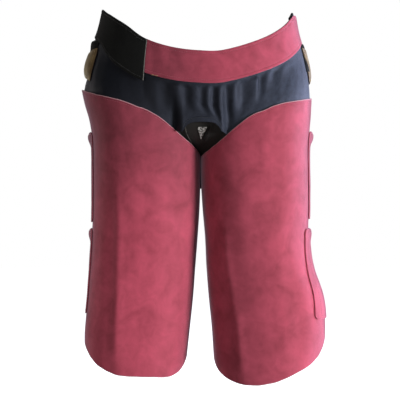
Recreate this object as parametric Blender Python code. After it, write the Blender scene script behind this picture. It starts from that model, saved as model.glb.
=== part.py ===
"""Farrier apron, in the form it takes when it is worn.

Metres, +Z up. The front faces -Y, and +X is the wearer's left. The origin is the middle of the
waist, where the belt sits. Every piece is a thin sheet laid round one of two forms: the hips, which
carry the belt, the waistband and the yoke, and the legs, which carry the long suede panels and
the straps. "Out" is a distance outwards from a form, and it keeps the layers clear of each other.
"""
from collections import namedtuple
from math import copysign, cos, exp, radians, sin

import bmesh
import bpy
from mathutils import Vector

# Hips
WAIST_WIDTH = 0.372
WAIST_DEPTH = 0.232
HIP_WIDTH = 0.458
HIP_DEPTH = 0.270
HIP_LEVEL = -0.120
HIP_LEAN = 0.008
WAIST_LEAN = 0.0011
HIP_SQUARENESS = 2.2

# Legs
LEG_LENGTH = 0.590
LEG_REACH = 0.229
LEG_FRONT = 0.134
LEG_BACK = 0.104
LEG_SQUARENESS = 2.4

# Sheets
BAND_THICKNESS = 0.003
BELT_THICKNESS = 0.003
CLOTH_THICKNESS = 0.0015
PANEL_THICKNESS = 0.0022
STRAP_THICKNESS = 0.002
POCKET_THICKNESS = 0.002
PATCH_THICKNESS = 0.0012
GAP = 0.0004
LAP_SLACK = 0.0009

# Belt and waistband
BELT_TOP = 0.038
BELT_DIP_HEIGHT = 0.095
BAND_HEIGHT = 0.062
BAND_RIGHT_END = -60.0
BAND_LEFT_END = 98.0
BAND_TUCK = 0.004
CLOSURE_HEIGHT = 0.077
CLOSURE_END = -25.0
CLOSURE_LEAN = 2.0
CLOSURE_TAPER_FROM = 38.0
CLOSURE_TAPER_TO = 66.0
BELT_HEIGHT = 0.056
BELT_LEFT_END = 68.0

# Yoke
YOKE_END = 105.0
YOKE_TUCK = 0.012
YOKE_SHOW = 0.002
PANEL_TUCK = 0.012
HEM_RIGHT = -5.0
HEM_LEFT = 10.5
HEM_LEVEL = -0.192
HEM_DEPTH = 0.125
HEM_CURL = 0.010
HEM_TURN = 4.0
HEM_CLEAR = 0.002

# Gusset and its patch
GUSSET_TOP = -0.184
GUSSET_BOTTOM = -0.249
GUSSET_TUCK = 7.0
GUSSET_SLACK = 0.005
PATCH_WIDTH = 0.019
PATCH_HEIGHT = 0.022
PATCH_LEVEL = -0.2005
PATCH_SIDE = 0.0047
PATCH_TIP = 0.0019
PATCH_TIP_SHARE = 0.08

# Pockets and rivets
POCKET_HOLLOW = 0.010
POCKET_MOUTH = 0.86
POCKET_DENT = 0.005
POCKET_DENT_FROM = 60.0
POCKET_DENT_TO = 76.0
RIVET_RADIUS = 0.0022
RIVET_HEAD = 0.0012
RIVET_ACROSS = -0.62
RIVET_DOWN = 0.90

# Steps between the columns of a sheet, in degrees
WAIST_STEP = 5.0
PLEAT_STEP = 1.5
PANEL_STEP = 7.5
STRAP_STEP = 12.5

# Mouth and foot of each pocket, as shares of the yoke's fall at the hip, and its front and back angles
POCKET_SPAN = {"right": (0.05, 0.68), "left": (0.04, 0.64)}
POCKET_SIDES = {"right": (67.0, 98.0), "left": (78.0, 104.0)}


class Table:
    """Rows of values under named columns, read smoothly at any place in the first column."""

    def __init__(self, columns, rows):
        self.columns = columns.split()
        self.rows = rows

    def at(self, place, column):
        col = self.columns.index(column)
        spots = [row[0] for row in self.rows]
        values = [row[col] for row in self.rows]
        if place <= spots[0]:
            return values[0]
        if place >= spots[-1]:
            return values[-1]
        last = len(spots) - 1
        k = max(i for i in range(last) if spots[i] <= place)
        width = spots[k + 1] - spots[k]

        def slope(i):
            low, high = max(i - 1, 0), min(i + 1, last)
            return (values[high] - values[low]) / (spots[high] - spots[low])

        t = (place - spots[k]) / width
        return ((2 * t**3 - 3 * t**2 + 1) * values[k] + (3 * t**2 - 2 * t**3) * values[k + 1]
                + width * ((t**3 - 2 * t**2 + t) * slope(k) + (t**3 - t**2) * slope(k + 1)))


# Growth of the hips from waist to hip level, both as shares
HIP_FORM = Table("fall growth", [
    (0.00, 0.00),
    (0.27, 0.21),
    (0.63, 0.64),
    (1.00, 1.00),
])

# Top edge of the belt round the waist: angle from the front, drop as a share of BELT_DIP_HEIGHT
BELT_LINE = Table("angle drop", [
    (-180, 0.76),
    (-150, 0.53),
    (-128, 0.28),
    (-104, 0.06),
    (-84, 0.00),
    (-63, 0.13),
    (-49, 0.27),
    (-40, 0.43),
    (-28, 0.71),
    (-19, 0.84),
    (-8, 0.95),
    (2, 1.00),
    (9, 1.00),
    (17, 0.93),
    (29, 0.79),
    (39, 0.66),
    (52, 0.47),
    (67, 0.24),
    (82, 0.07),
    (98, 0.06),
    (112, 0.17),
    (130, 0.37),
    (152, 0.60),
    (180, 0.76),
])

# Outline of the legs down their length: reaches as shares of LEG_REACH, front as a share of LEG_FRONT
LEG_FORM = Table("fall right_outer right_inner left_outer left_inner front", [
    (0.00, 1.030, 0.002, 0.976, 0.016, 1.000),
    (0.05, 1.004, 0.002, 0.967, 0.016, 0.990),
    (0.10, 0.966, 0.001, 0.959, 0.014, 0.975),
    (0.15, 0.941, -0.001, 0.948, 0.011, 0.960),
    (0.20, 0.934, -0.004, 0.943, 0.007, 0.940),
    (0.30, 0.932, -0.004, 0.943, 0.007, 0.900),
    (0.40, 0.928, 0.004, 0.943, 0.022, 0.865),
    (0.50, 0.937, 0.021, 0.943, 0.044, 0.830),
    (0.60, 0.956, 0.041, 0.980, 0.056, 0.800),
    (0.70, 0.975, 0.060, 1.065, 0.076, 0.790),
    (0.80, 0.998, 0.087, 1.087, 0.102, 0.800),
    (0.90, 1.002, 0.114, 1.066, 0.119, 0.820),
    (1.00, 1.002, 0.135, 1.048, 0.140, 0.835),
])

# Edges of the leg panels: turn is 0 at the outer side, 90 in front and 180 at the inner side
PANEL_EDGES = Table("turn right_top right_foot left_top left_foot", [
    (-20, -0.004, 0.790, 0.028, 0.755),
    (0, 0.000, 0.835, 0.030, 0.812),
    (25, 0.013, 0.872, 0.039, 0.874),
    (45, 0.027, 0.905, 0.048, 0.908),
    (65, 0.042, 0.930, 0.058, 0.934),
    (80, 0.057, 0.942, 0.072, 0.954),
    (95, 0.086, 0.946, 0.101, 0.972),
    (110, 0.121, 0.948, 0.140, 0.974),
    (125, 0.158, 0.951, 0.175, 0.969),
    (140, 0.184, 0.945, 0.201, 0.957),
    (155, 0.203, 0.930, 0.216, 0.941),
    (170, 0.219, 0.908, 0.225, 0.919),
    (195, 0.228, 0.880, 0.230, 0.885),
])

# Where each upright thread of the yoke meets the legs: angle at the waist, turn on each leg
YOKE_SEAM = Table("angle right left", [
    (5, 126, 136),
    (10, 118, 128),
    (20, 98, 104),
    (30, 87, 90),
    (45, 67, 72),
    (60, 44, 50),
    (75, 20, 28),
    (90, 0, 4),
    (105, -18, -16),
])

Pleat = namedtuple("Pleat", "angle spread rise")
PLEATS = [
    Pleat(-18.0, 3.5, -0.0020),
    Pleat(-8.0, 2.6, 0.0040),
    Pleat(-3.2, 1.8, -0.0035),
    Pleat(1.7, 1.4, 0.0020),
    Pleat(4.6, 1.3, -0.0030),
    Pleat(7.2, 1.6, 0.0045),
    Pleat(10.2, 1.4, -0.0030),
    Pleat(13.7, 1.7, 0.0038),
    Pleat(17.0, 1.5, -0.0030),
    Pleat(20.6, 2.0, 0.0032),
    Pleat(26.0, 2.8, -0.0028),
    Pleat(31.5, 2.0, 0.0026),
    Pleat(35.0, 1.6, -0.0020),
    Pleat(39.0, 2.0, 0.0020),
    Pleat(43.5, 2.2, -0.0016),
]
PLEATS_FROM = -22.0
PLEATS_TO = 46.0

Fold = namedtuple("Fold", "side turn spread top foot rise")
FOLDS = [
    Fold("right", 118, 9, 0.20, 0.62, -0.0030),
    Fold("right", 88, 12, 0.30, 0.80, 0.0030),
    Fold("right", 64, 9, 0.52, 1.00, -0.0030),
    Fold("right", 128, 10, 0.60, 1.00, 0.0025),
    Fold("left", 76, 9, 0.05, 0.45, -0.0028),
    Fold("left", 100, 11, 0.25, 0.70, 0.0030),
    Fold("left", 112, 8, 0.68, 1.00, -0.0045),
    Fold("left", 90, 9, 0.72, 1.00, 0.0030),
]

Strap = namedtuple("Strap", "name side top foot lap_top lap_foot ear slack")
STRAPS = [
    Strap("thigh_strap_right", "right", 0.146, 0.447, 8, 8, 0.008, 0.0009),
    Strap("thigh_strap_left", "left", 0.143, 0.437, 5, 5, 0.010, 0.0009),
    Strap("calf_strap_right", "right", 0.468, 0.753, 8, 8, 0.007, 0.0002),
    Strap("calf_strap_left", "left", 0.468, 0.766, 30, 44, 0.008, 0.0009),
]
STRAP_INNER_END = -190.0
STRAP_TAPER = 0.36
STRAP_DIVE_FROM = -30.0
STRAP_DIVE_TO = -150.0
EAR_TURN = 16.0
EAR_FALL = 0.24


def share(value, low, high):
    return max(0.0, min(1.0, (value - low) / (high - low)))


def ease(value, low, high):
    t = share(value, low, high)
    return t * t * (3 - 2 * t)


def mix(low, high, t):
    return low + (high - low) * t


def rounded(wave, squareness):
    """A sine or cosine, pushed outwards so that the form is squarer than an ellipse."""
    return copysign(abs(wave) ** (2 / squareness), wave)


def steps(start, stop, step):
    """Places from start to stop, with the ones between on whole multiples of the step."""
    low, high = min(start, stop), max(start, stop)
    first = int(low // step) + 1
    inner = [i * step for i in range(first, int(high // step) + 1) if step / 4 < i * step - low]
    inner = [place for place in inner if high - place > step / 4]
    places = [low] + inner + [high]
    return places if start < stop else places[::-1]


def hip_point(angle, level, out):
    """A point round the hips: angle 0 is the front and 90 the wearer's left side."""
    fall = share(BELT_TOP - level, 0.0, BELT_TOP - HIP_LEVEL)
    growth = HIP_FORM.at(fall, "growth")
    width = mix(WAIST_WIDTH, HIP_WIDTH, growth) / 2 + out
    depth = mix(WAIST_DEPTH, HIP_DEPTH, growth) / 2 + out
    lean = mix(WAIST_LEAN, HIP_LEAN, growth)
    across = width * rounded(sin(radians(angle)), HIP_SQUARENESS)
    forward = depth * rounded(cos(radians(angle)), HIP_SQUARENESS)
    return Vector((across - lean, -forward, level))


def leg_point(side, turn, level, out):
    """A point round a leg. The form's surface is the inner face of the leg panel."""
    fall = (HIP_LEVEL - level) / LEG_LENGTH
    outer = LEG_FORM.at(fall, side + "_outer") * LEG_REACH - PANEL_THICKNESS
    inner = LEG_FORM.at(fall, side + "_inner") * LEG_REACH + PANEL_THICKNESS
    front = LEG_FORM.at(fall, "front") * LEG_FRONT - PANEL_THICKNESS
    depth = (front if sin(radians(turn)) > 0 else LEG_BACK) + out
    reach = (outer - inner) / 2 + out
    across = (outer + inner) / 2 + reach * rounded(cos(radians(turn)), LEG_SQUARENESS)
    forward = depth * rounded(sin(radians(turn)), LEG_SQUARENESS)
    return Vector((across if side == "left" else -across, -forward, level))


def belt_top(angle):
    wrapped = (angle + 180.0) % 360.0 - 180.0
    return BELT_TOP - BELT_DIP_HEIGHT * BELT_LINE.at(wrapped, "drop")


def material(name, colour, roughness, metallic=0.0):
    made = bpy.data.materials.new(name)
    made.use_nodes = True
    shader = made.node_tree.nodes["Principled BSDF"]
    shader.inputs["Base Color"].default_value = (*colour, 1.0)
    shader.inputs["Roughness"].default_value = roughness
    shader.inputs["Metallic"].default_value = metallic
    return made


def new_object(name, mesh, finish):
    mesh.materials.append(finish)
    made = bpy.data.objects.new(name, mesh)
    bpy.context.collection.objects.link(made)
    return made


def sheet(name, columns, rows, thickness, place, finish):
    """A closed sheet. place(column, row, out) gives a point, out from 0 to the thickness."""
    bm = bmesh.new()
    faces = []
    for out in (0.0, thickness):
        faces.append([[bm.verts.new(place(c, r, out)) for c in columns] for r in rows])
    inner, outer = faces
    for i in range(len(rows) - 1):
        for j in range(len(columns) - 1):
            for grid in faces:
                bm.faces.new((grid[i][j], grid[i][j + 1], grid[i + 1][j + 1], grid[i + 1][j]))
    rims = [(inner[0], outer[0]), (inner[-1], outer[-1])]
    for end in (0, -1):
        rims.append(([row[end] for row in inner], [row[end] for row in outer]))
    for near, far in rims:
        for k in range(len(near) - 1):
            bm.faces.new((near[k], near[k + 1], far[k + 1], far[k]))
    bmesh.ops.recalc_face_normals(bm, faces=bm.faces)
    mesh = bpy.data.meshes.new(name)
    bm.to_mesh(mesh)
    bm.free()
    mesh.shade_smooth()
    mesh.set_sharp_from_angle(angle=radians(40))
    return new_object(name, mesh, finish)


def even(count):
    return [i / count for i in range(count + 1)]


def make_waistband(finish):
    base = CLOTH_THICKNESS + GAP

    def place(angle, down, out):
        tucked = BAND_TUCK * ease(-angle, -CLOSURE_END, -CLOSURE_END + WAIST_STEP)
        return hip_point(angle, belt_top(angle) - mix(tucked, BAND_HEIGHT, down), base + out)

    columns = steps(BAND_RIGHT_END, BAND_LEFT_END, WAIST_STEP)
    sheet("waistband", columns, even(3), BAND_THICKNESS, place, finish)


def make_back_belt(finish):
    """Goes from the closure's end, outside the waistband, round the back to inside its left end."""
    outside = CLOTH_THICKNESS + BAND_THICKNESS + 2 * GAP
    inside = -BELT_THICKNESS - GAP
    left_end = BELT_LEFT_END - 360.0

    def place(angle, down, out):
        height = mix(CLOSURE_HEIGHT, BELT_HEIGHT, ease(-angle, CLOSURE_TAPER_FROM, CLOSURE_TAPER_TO))
        inward = ease(-angle, YOKE_END, 360.0 - YOKE_END)
        angle += CLOSURE_LEAN * down * ease(angle, -CLOSURE_TAPER_FROM, CLOSURE_END)
        return hip_point(angle, belt_top(angle) - height * down, mix(outside, inside, inward) + out)

    sheet("back_belt", steps(CLOSURE_END, left_end, WAIST_STEP), even(2), BELT_THICKNESS, place, finish)


def near_hem(angle, start, stop):
    """0 over the hem, growing to 1 some degrees past its ends."""
    beyond = max(HEM_RIGHT - angle, angle - HEM_LEFT)
    return ease(beyond, stop, start)


def hem_point(angle, raised, out):
    """A point on the free hem between the legs, or straight above it."""
    middle = (HEM_LEFT + HEM_RIGHT) / 2
    reach = (HEM_LEFT - HEM_RIGHT) / 2
    curl = HEM_CURL * min(1.0, abs((angle - middle) / reach)) ** 4
    across = hip_point(angle, HIP_LEVEL, 0.0).x
    return Vector((across, -HEM_DEPTH - out, HEM_LEVEL - curl + raised))


def yoke_pleat(angle, down):
    rise = sum(p.rise * exp(-((angle - p.angle) / p.spread) ** 2) for p in PLEATS)
    fade = ease(angle, PLEATS_FROM, PLEATS_FROM + 4) * ease(-angle, -PLEATS_TO, 4 - PLEATS_TO)
    return rise * fade * ease(down, 0.0, 0.2) * (1 - ease(down, 0.70, 0.92))


def yoke_dent(angle, down):
    """The yoke is pressed in behind the pockets."""
    beside = ease(abs(angle), POCKET_DENT_FROM, POCKET_DENT_TO)
    return -POCKET_DENT * beside * ease(down, 0.0, 0.2) * (1 - ease(down, 0.55, 0.95))


def yoke_point(angle, down, out):
    """A point of the yoke, which leaves the hips just below the band and lies down on the legs.

    Down runs from 0 below the band to 1 at the lower edge, and is -1 at the tucked upper edge.
    """
    side = "left" if angle > 0 else "right"
    turn = YOKE_SEAM.at(abs(angle), side)
    layer = out - CLOTH_THICKNESS - GAP - LAP_SLACK
    tuck = mix(-HEM_CLEAR, PANEL_TUCK, near_hem(angle, 2 * HEM_TURN, HEM_TURN))
    edge = HIP_LEVEL - LEG_LENGTH * PANEL_EDGES.at(turn, side + "_top") - tuck
    top = belt_top(angle) - BAND_HEIGHT - YOKE_SHOW
    if down < 0:
        return hip_point(angle, top - (YOKE_TUCK + YOKE_SHOW) * down, out)
    third = (top - edge) / 3
    free = 1 - near_hem(angle, HEM_TURN, 0.0)
    rise = yoke_pleat(angle, down) + yoke_dent(angle, down)
    corners = (
        hip_point(angle, top, out + rise),
        hip_point(angle, top - third, out + rise),
        leg_point(side, turn, edge + third, layer + rise).lerp(hem_point(angle, third, out + rise), free),
        leg_point(side, turn, edge, layer + rise).lerp(hem_point(angle, 0.0, out + rise), free),
    )
    up = 1 - down
    weights = (up**3, 3 * down * up**2, 3 * down**2 * up, down**3)
    return sum((corner * weight for corner, weight in zip(corners, weights)), Vector())


def make_yoke(finish):
    sides = steps(-YOKE_END, PLEATS_FROM, WAIST_STEP)[:-1], steps(PLEATS_TO, YOKE_END, WAIST_STEP)[1:]
    columns = sides[0] + steps(PLEATS_FROM, PLEATS_TO, PLEAT_STEP) + sides[1]

    sheet("yoke", columns, [-1.0] + even(7), CLOTH_THICKNESS, yoke_point, finish)


def edge_turn(side, level):
    """The turn at which a leg panel's top edge passes a level, on its inner half."""
    fall = (HIP_LEVEL - level) / LEG_LENGTH
    low, high = 90.0, PANEL_EDGES.rows[-1][0]
    for _ in range(30):
        middle = (low + high) / 2
        if PANEL_EDGES.at(middle, side + "_top") < fall:
            low = middle
        else:
            high = middle
    return low


def gusset_edge(side, level, past, out):
    """A point of the gusset on a leg form, some degrees past the panel's edge."""
    layer = -2 * (CLOTH_THICKNESS + GAP) - GUSSET_SLACK
    return leg_point(side, edge_turn(side, level) + past, level, layer + out)


def gusset_point(across, level, out):
    """Across runs from 0 to 1 between the legs, and past those ends behind the panels."""
    if across < 0:
        return gusset_edge("right", level, GUSSET_TUCK + 2 * GUSSET_TUCK * across, out)
    if across > 1:
        return gusset_edge("left", level, GUSSET_TUCK - 2 * GUSSET_TUCK * (across - 1), out)
    right = gusset_edge("right", level, GUSSET_TUCK, out)
    left = gusset_edge("left", level, GUSSET_TUCK, out)
    return right.lerp(left, across)


def make_gusset(finish):
    columns = [-1.0, -0.5] + even(6) + [1.5, 2.0]

    def place(across, down, out):
        return gusset_point(across, mix(GUSSET_TOP, GUSSET_BOTTOM, down), out)

    sheet("crotch_gusset", columns, even(8), CLOTH_THICKNESS, place, finish)


def make_patch(finish):
    """A triangle with its point down, on the front of the gusset."""
    def place(across, down, out):
        level = PATCH_LEVEL - PATCH_HEIGHT * down
        width = PATCH_WIDTH * mix(1.0, PATCH_TIP_SHARE, down)
        middle = mix(PATCH_SIDE, PATCH_TIP, down)
        x = middle + width * (across - 0.5)
        right = gusset_point(0.0, level, CLOTH_THICKNESS)
        left = gusset_point(1.0, level, CLOTH_THICKNESS)
        at = right.lerp(left, (x - right.x) / (left.x - right.x))
        return Vector((at.x, at.y - 1.5 * GAP - out, level))

    sheet("gusset_patch", even(2), even(3), PATCH_THICKNESS, place, finish)


def panel_fold(side, turn, fall):
    total = 0.0
    for fold in FOLDS:
        if fold.side == side:
            length = (fold.foot - fold.top) / 3
            along = ease(fall, fold.top, fold.top + length)
            if fold.foot < 1:
                along *= 1 - ease(fall, fold.foot - length, fold.foot)
            total += fold.rise * along * exp(-((turn - fold.turn) / fold.spread) ** 2)
    return total


def make_leg_panel(side, finish):
    def place(turn, down, out):
        fall = mix(PANEL_EDGES.at(turn, side + "_top"), PANEL_EDGES.at(turn, side + "_foot"), down)
        level = HIP_LEVEL - LEG_LENGTH * fall
        return leg_point(side, turn, level, out + panel_fold(side, turn, down))

    first, last = PANEL_EDGES.rows[0][0], PANEL_EDGES.rows[-1][0]
    sheet("leg_panel_" + side, steps(first, last, PANEL_STEP), even(13), PANEL_THICKNESS, place, finish)


def make_strap(strap, finish):
    """From its free end on the panel's outer face, round the back, to inside the inner edge."""
    outside = PANEL_THICKNESS + GAP + strap.slack
    inside = -STRAP_THICKNESS - GAP - strap.slack

    def place(column, down, out):
        lap = mix(strap.lap_top, strap.lap_foot, down)
        turn = column if column <= 0 else lap * column
        behind = ease(-turn, -STRAP_DIVE_FROM, -STRAP_DIVE_TO)
        top = mix(strap.top, strap.foot, STRAP_TAPER * behind)
        level = HIP_LEVEL - LEG_LENGTH * mix(top, strap.foot, down)
        ear = strap.ear * ease(turn, lap - EAR_TURN, lap) * (1 - ease(down, 0.0, EAR_FALL)) ** 2
        return leg_point(strap.side, turn, level, mix(outside, inside, behind) + ear + out)

    front = even(max(2, round(strap.lap_foot / PANEL_STEP)))[:0:-1]
    lapped = steps(0.0, STRAP_DIVE_FROM, PANEL_STEP)
    behind = steps(STRAP_DIVE_FROM, STRAP_INNER_END, STRAP_STEP)[1:]
    rows = [0.0, EAR_FALL / 2, EAR_FALL] + [mix(EAR_FALL, 1.0, t) for t in even(5)[1:]]
    sheet(strap.name, front + lapped + behind, rows, STRAP_THICKNESS, place, finish)


def pocket_point(side, across, down, out):
    """Across runs from -1 at the front edge to 1 at the back, down from the mouth to the foot."""
    sign = 1 if side == "left" else -1
    angle = sign * mix(*POCKET_SIDES[side], (across + 1) / 2)
    belly = POCKET_HOLLOW * (1 - abs(across) ** 4) * (1 - down**6)
    belly *= mix(POCKET_MOUTH, 1.0, min(1.0, 2 * down))
    base = CLOTH_THICKNESS + GAP
    return yoke_point(angle, mix(*POCKET_SPAN[side], down), base + belly + out)


def make_pocket(side, finish):
    columns = [-1.0, -0.92, -0.75, -0.5, -0.17, 0.17, 0.5, 0.75, 0.92, 1.0]
    rows = [0.0, 0.3, 0.6, 0.8, 0.92, 1.0]

    def place(across, down, out):
        return pocket_point(side, across, down, out)

    sheet("knife_pocket_" + side, columns, rows, POCKET_THICKNESS, place, finish)


def make_rivet(side, finish):
    """A low domed head, seated on the pocket's face near its lower front corner."""
    seat = pocket_point(side, RIVET_ACROSS, RIVET_DOWN, POCKET_THICKNESS)
    nearby = 0.05
    along = pocket_point(side, RIVET_ACROSS + nearby, RIVET_DOWN, POCKET_THICKNESS) - seat
    down = pocket_point(side, RIVET_ACROSS, RIVET_DOWN + nearby, POCKET_THICKNESS) - seat
    normal = along.cross(down).normalized()
    if normal.dot(Vector((seat.x, seat.y, 0.0))) < 0:
        normal.negate()
    name = "pocket_rivet_" + side
    bm = bmesh.new()
    sides = 12
    flat = normal.to_track_quat("Z", "X").to_matrix()
    rings = []
    for height, radius in ((0.0, 1.0), (0.5, 1.0), (0.85, 0.75), (1.0, 0.35)):
        ring = []
        for i in range(sides):
            angle = radians(360.0 * i / sides)
            reach = RIVET_RADIUS * radius
            spot = Vector((reach * cos(angle), reach * sin(angle), RIVET_HEAD * height))
            ring.append(bm.verts.new(seat + normal * GAP + flat @ spot))
        rings.append(ring)
    for low, high in zip(rings, rings[1:]):
        for i in range(sides):
            bm.faces.new((low[i], low[(i + 1) % sides], high[(i + 1) % sides], high[i]))
    bm.faces.new(rings[0])
    bm.faces.new(rings[-1])
    bmesh.ops.recalc_face_normals(bm, faces=bm.faces)
    mesh = bpy.data.meshes.new(name)
    bm.to_mesh(mesh)
    bm.free()
    mesh.shade_smooth()
    new_object(name, mesh, finish)


for old in list(bpy.data.objects):
    bpy.data.objects.remove(old)

red_suede = material("red suede", (0.33, 0.045, 0.075), 0.9)
black_webbing = material("black webbing", (0.010, 0.010, 0.011), 0.8)
black_cloth = material("black cloth", (0.018, 0.020, 0.024), 0.85)
grey_weave = material("grey weave", (0.20, 0.20, 0.20), 0.8)
tan_leather = material("tan leather", (0.42, 0.27, 0.14), 0.6)
pale_metal = material("pale metal", (0.70, 0.68, 0.62), 0.35, 1.0)

make_waistband(red_suede)
make_back_belt(black_webbing)
make_yoke(black_cloth)
make_gusset(black_cloth)
make_patch(grey_weave)
for leg in ("right", "left"):
    make_leg_panel(leg, red_suede)
    make_pocket(leg, tan_leather)
    make_rivet(leg, pale_metal)
for one in STRAPS:
    make_strap(one, red_suede)
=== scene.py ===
from bisect import bisect_right
from collections import namedtuple
from math import copysign, cos, exp, pi, radians, sin, sqrt

import bmesh
import bpy
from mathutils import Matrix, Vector, noise


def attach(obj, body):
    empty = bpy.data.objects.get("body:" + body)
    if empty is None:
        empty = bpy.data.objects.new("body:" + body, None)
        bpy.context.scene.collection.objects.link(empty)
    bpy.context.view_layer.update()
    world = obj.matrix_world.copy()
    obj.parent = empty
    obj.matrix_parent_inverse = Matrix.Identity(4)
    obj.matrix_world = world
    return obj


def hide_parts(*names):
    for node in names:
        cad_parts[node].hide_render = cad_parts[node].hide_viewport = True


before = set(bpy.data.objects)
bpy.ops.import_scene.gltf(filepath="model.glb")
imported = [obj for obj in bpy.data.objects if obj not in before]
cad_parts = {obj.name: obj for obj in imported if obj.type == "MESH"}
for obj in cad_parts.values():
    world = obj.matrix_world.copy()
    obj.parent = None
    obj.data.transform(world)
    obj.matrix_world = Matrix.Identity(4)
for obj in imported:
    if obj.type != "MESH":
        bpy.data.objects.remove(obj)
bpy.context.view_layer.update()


# Leg panels. Each is cut from one piece of split cowhide, with the dyed and brushed nap facing out,
# and wraps the front of a leg. The knife leaves a paler core along its edges. A row of stitches
# just inside the top edge holds the panel over the cloth yoke.
LEG_TOP = -0.120
LEG_LENGTH = 0.590
LEG_REACH = 0.229
LEG_FRONT = 0.134
LEG_BACK = 0.104
LEG_SQUARENESS = 2.4
HIDE_THICKNESS = 0.0022
HIDE_GAP = 0.0004
RIPPLE_SIZE = 0.060
RIPPLE_HEIGHT = 0.0010
RIPPLE_FINE_SIZE = 0.35
RIPPLE_FINE_SHARE = 0.3
RIPPLE_FROM = 120.0
RIPPLE_TO = 150.0
EDGE_WANDER = 0.0012
WANDER_TURN = 9.0
WANDER_FALL = 0.25
PANEL_SEAM = 0.0100
PANEL_SEAM_SPREAD = 0.0016
THREAD_PULL = 0.0005


def share(value, low, high):
    return max(0.0, min(1.0, (value - low) / (high - low)))


def ease(value, low, high):
    t = share(value, low, high)
    return t * t * (3 - 2 * t)


def mix(low, high, t):
    return low + (high - low) * t


class Pattern:
    """Rows of values under named columns, read smoothly at any place in the first column."""

    def __init__(self, columns, rows):
        self.columns = columns.split()
        self.rows = rows

    def at(self, place, column):
        col = self.columns.index(column)
        spots = [row[0] for row in self.rows]
        values = [row[col] for row in self.rows]
        if place <= spots[0]:
            return values[0]
        if place >= spots[-1]:
            return values[-1]
        last = len(spots) - 1
        k = bisect_right(spots, place) - 1
        width = spots[k + 1] - spots[k]

        def slope(i):
            low, high = max(i - 1, 0), min(i + 1, last)
            return (values[high] - values[low]) / (spots[high] - spots[low])

        t = (place - spots[k]) / width
        return ((2 * t**3 - 3 * t**2 + 1) * values[k] + (3 * t**2 - 2 * t**3) * values[k + 1]
                + width * ((t**3 - 2 * t**2 + t) * slope(k) + (t**3 - t**2) * slope(k + 1)))


# Reaches are shares of LEG_REACH, and the front is a share of LEG_FRONT
LEG_FORM = Pattern("fall right_outer right_inner left_outer left_inner front", [
    (0.00, 1.030, 0.002, 0.976, 0.016, 1.000),
    (0.05, 1.004, 0.002, 0.967, 0.016, 0.990),
    (0.10, 0.966, 0.001, 0.959, 0.014, 0.975),
    (0.15, 0.941, -0.001, 0.948, 0.011, 0.960),
    (0.20, 0.934, -0.004, 0.943, 0.007, 0.940),
    (0.30, 0.932, -0.004, 0.943, 0.007, 0.900),
    (0.40, 0.928, 0.004, 0.943, 0.022, 0.865),
    (0.50, 0.937, 0.021, 0.943, 0.044, 0.830),
    (0.60, 0.956, 0.041, 0.980, 0.056, 0.800),
    (0.70, 0.975, 0.060, 1.065, 0.076, 0.790),
    (0.80, 0.998, 0.087, 1.087, 0.102, 0.800),
    (0.90, 1.002, 0.114, 1.066, 0.119, 0.820),
    (1.00, 1.002, 0.135, 1.048, 0.140, 0.835),
])

# Cut edges of the panels: turn is 0 at the outer side of the leg, 90 in front and 180 inside
PANEL_EDGES = Pattern("turn right_top right_foot left_top left_foot", [
    (-20, -0.004, 0.790, 0.028, 0.755),
    (0, 0.000, 0.835, 0.030, 0.812),
    (25, 0.013, 0.872, 0.039, 0.874),
    (45, 0.027, 0.905, 0.048, 0.908),
    (65, 0.042, 0.930, 0.058, 0.934),
    (80, 0.057, 0.942, 0.072, 0.954),
    (95, 0.086, 0.946, 0.101, 0.972),
    (110, 0.121, 0.948, 0.140, 0.974),
    (125, 0.158, 0.951, 0.175, 0.969),
    (140, 0.184, 0.945, 0.201, 0.957),
    (155, 0.203, 0.930, 0.216, 0.941),
    (170, 0.219, 0.908, 0.225, 0.919),
    (195, 0.228, 0.880, 0.230, 0.885),
])

# Soft folds down the panels. Each leans by so many degrees from the top edge to the foot.
Fold = namedtuple("Fold", "side turn lean spread top foot rise")
HIDE_FOLDS = [
    Fold("right", 118, 0, 12, 0.20, 0.62, -0.0018),
    Fold("right", 92, 0, 14, 0.25, 0.75, 0.0014),
    Fold("right", 60, 16, 6, 0.22, 1.00, 0.0028),
    Fold("right", 49, 16, 8, 0.30, 1.00, -0.0012),
    Fold("right", 136, 0, 9, 0.62, 1.00, 0.0014),
    Fold("left", 76, 0, 12, 0.05, 0.45, -0.0016),
    Fold("left", 100, 0, 12, 0.20, 0.60, 0.0012),
    Fold("left", 131, -15, 6, 0.26, 1.00, 0.0026),
    Fold("left", 143, -15, 8, 0.34, 1.00, -0.0010),
    Fold("left", 66, 0, 10, 0.50, 1.00, -0.0014),
]
FOLD_FLATTENING = 0.6
FOLD_FLAT_FROM = 0.84


def squared(wave, squareness):
    """A sine or cosine, pushed outwards so that the form is squarer than an ellipse."""
    return copysign(abs(wave) ** (2 / squareness), wave)


def leg_ripple(side, turn, level):
    """Slow waves in the hide. They die out at the inner side, where the legs nearly touch."""
    start = 1.0 if side == "left" else 2.0
    spot = Vector((LEG_FRONT * cos(radians(turn)), LEG_FRONT * sin(radians(turn)), level + start))
    wave = noise.noise(spot / RIPPLE_SIZE)
    wave += RIPPLE_FINE_SHARE * noise.noise(spot / (RIPPLE_FINE_SIZE * RIPPLE_SIZE))
    return RIPPLE_HEIGHT * wave * (1 - ease(abs(turn), RIPPLE_FROM, RIPPLE_TO))


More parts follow.
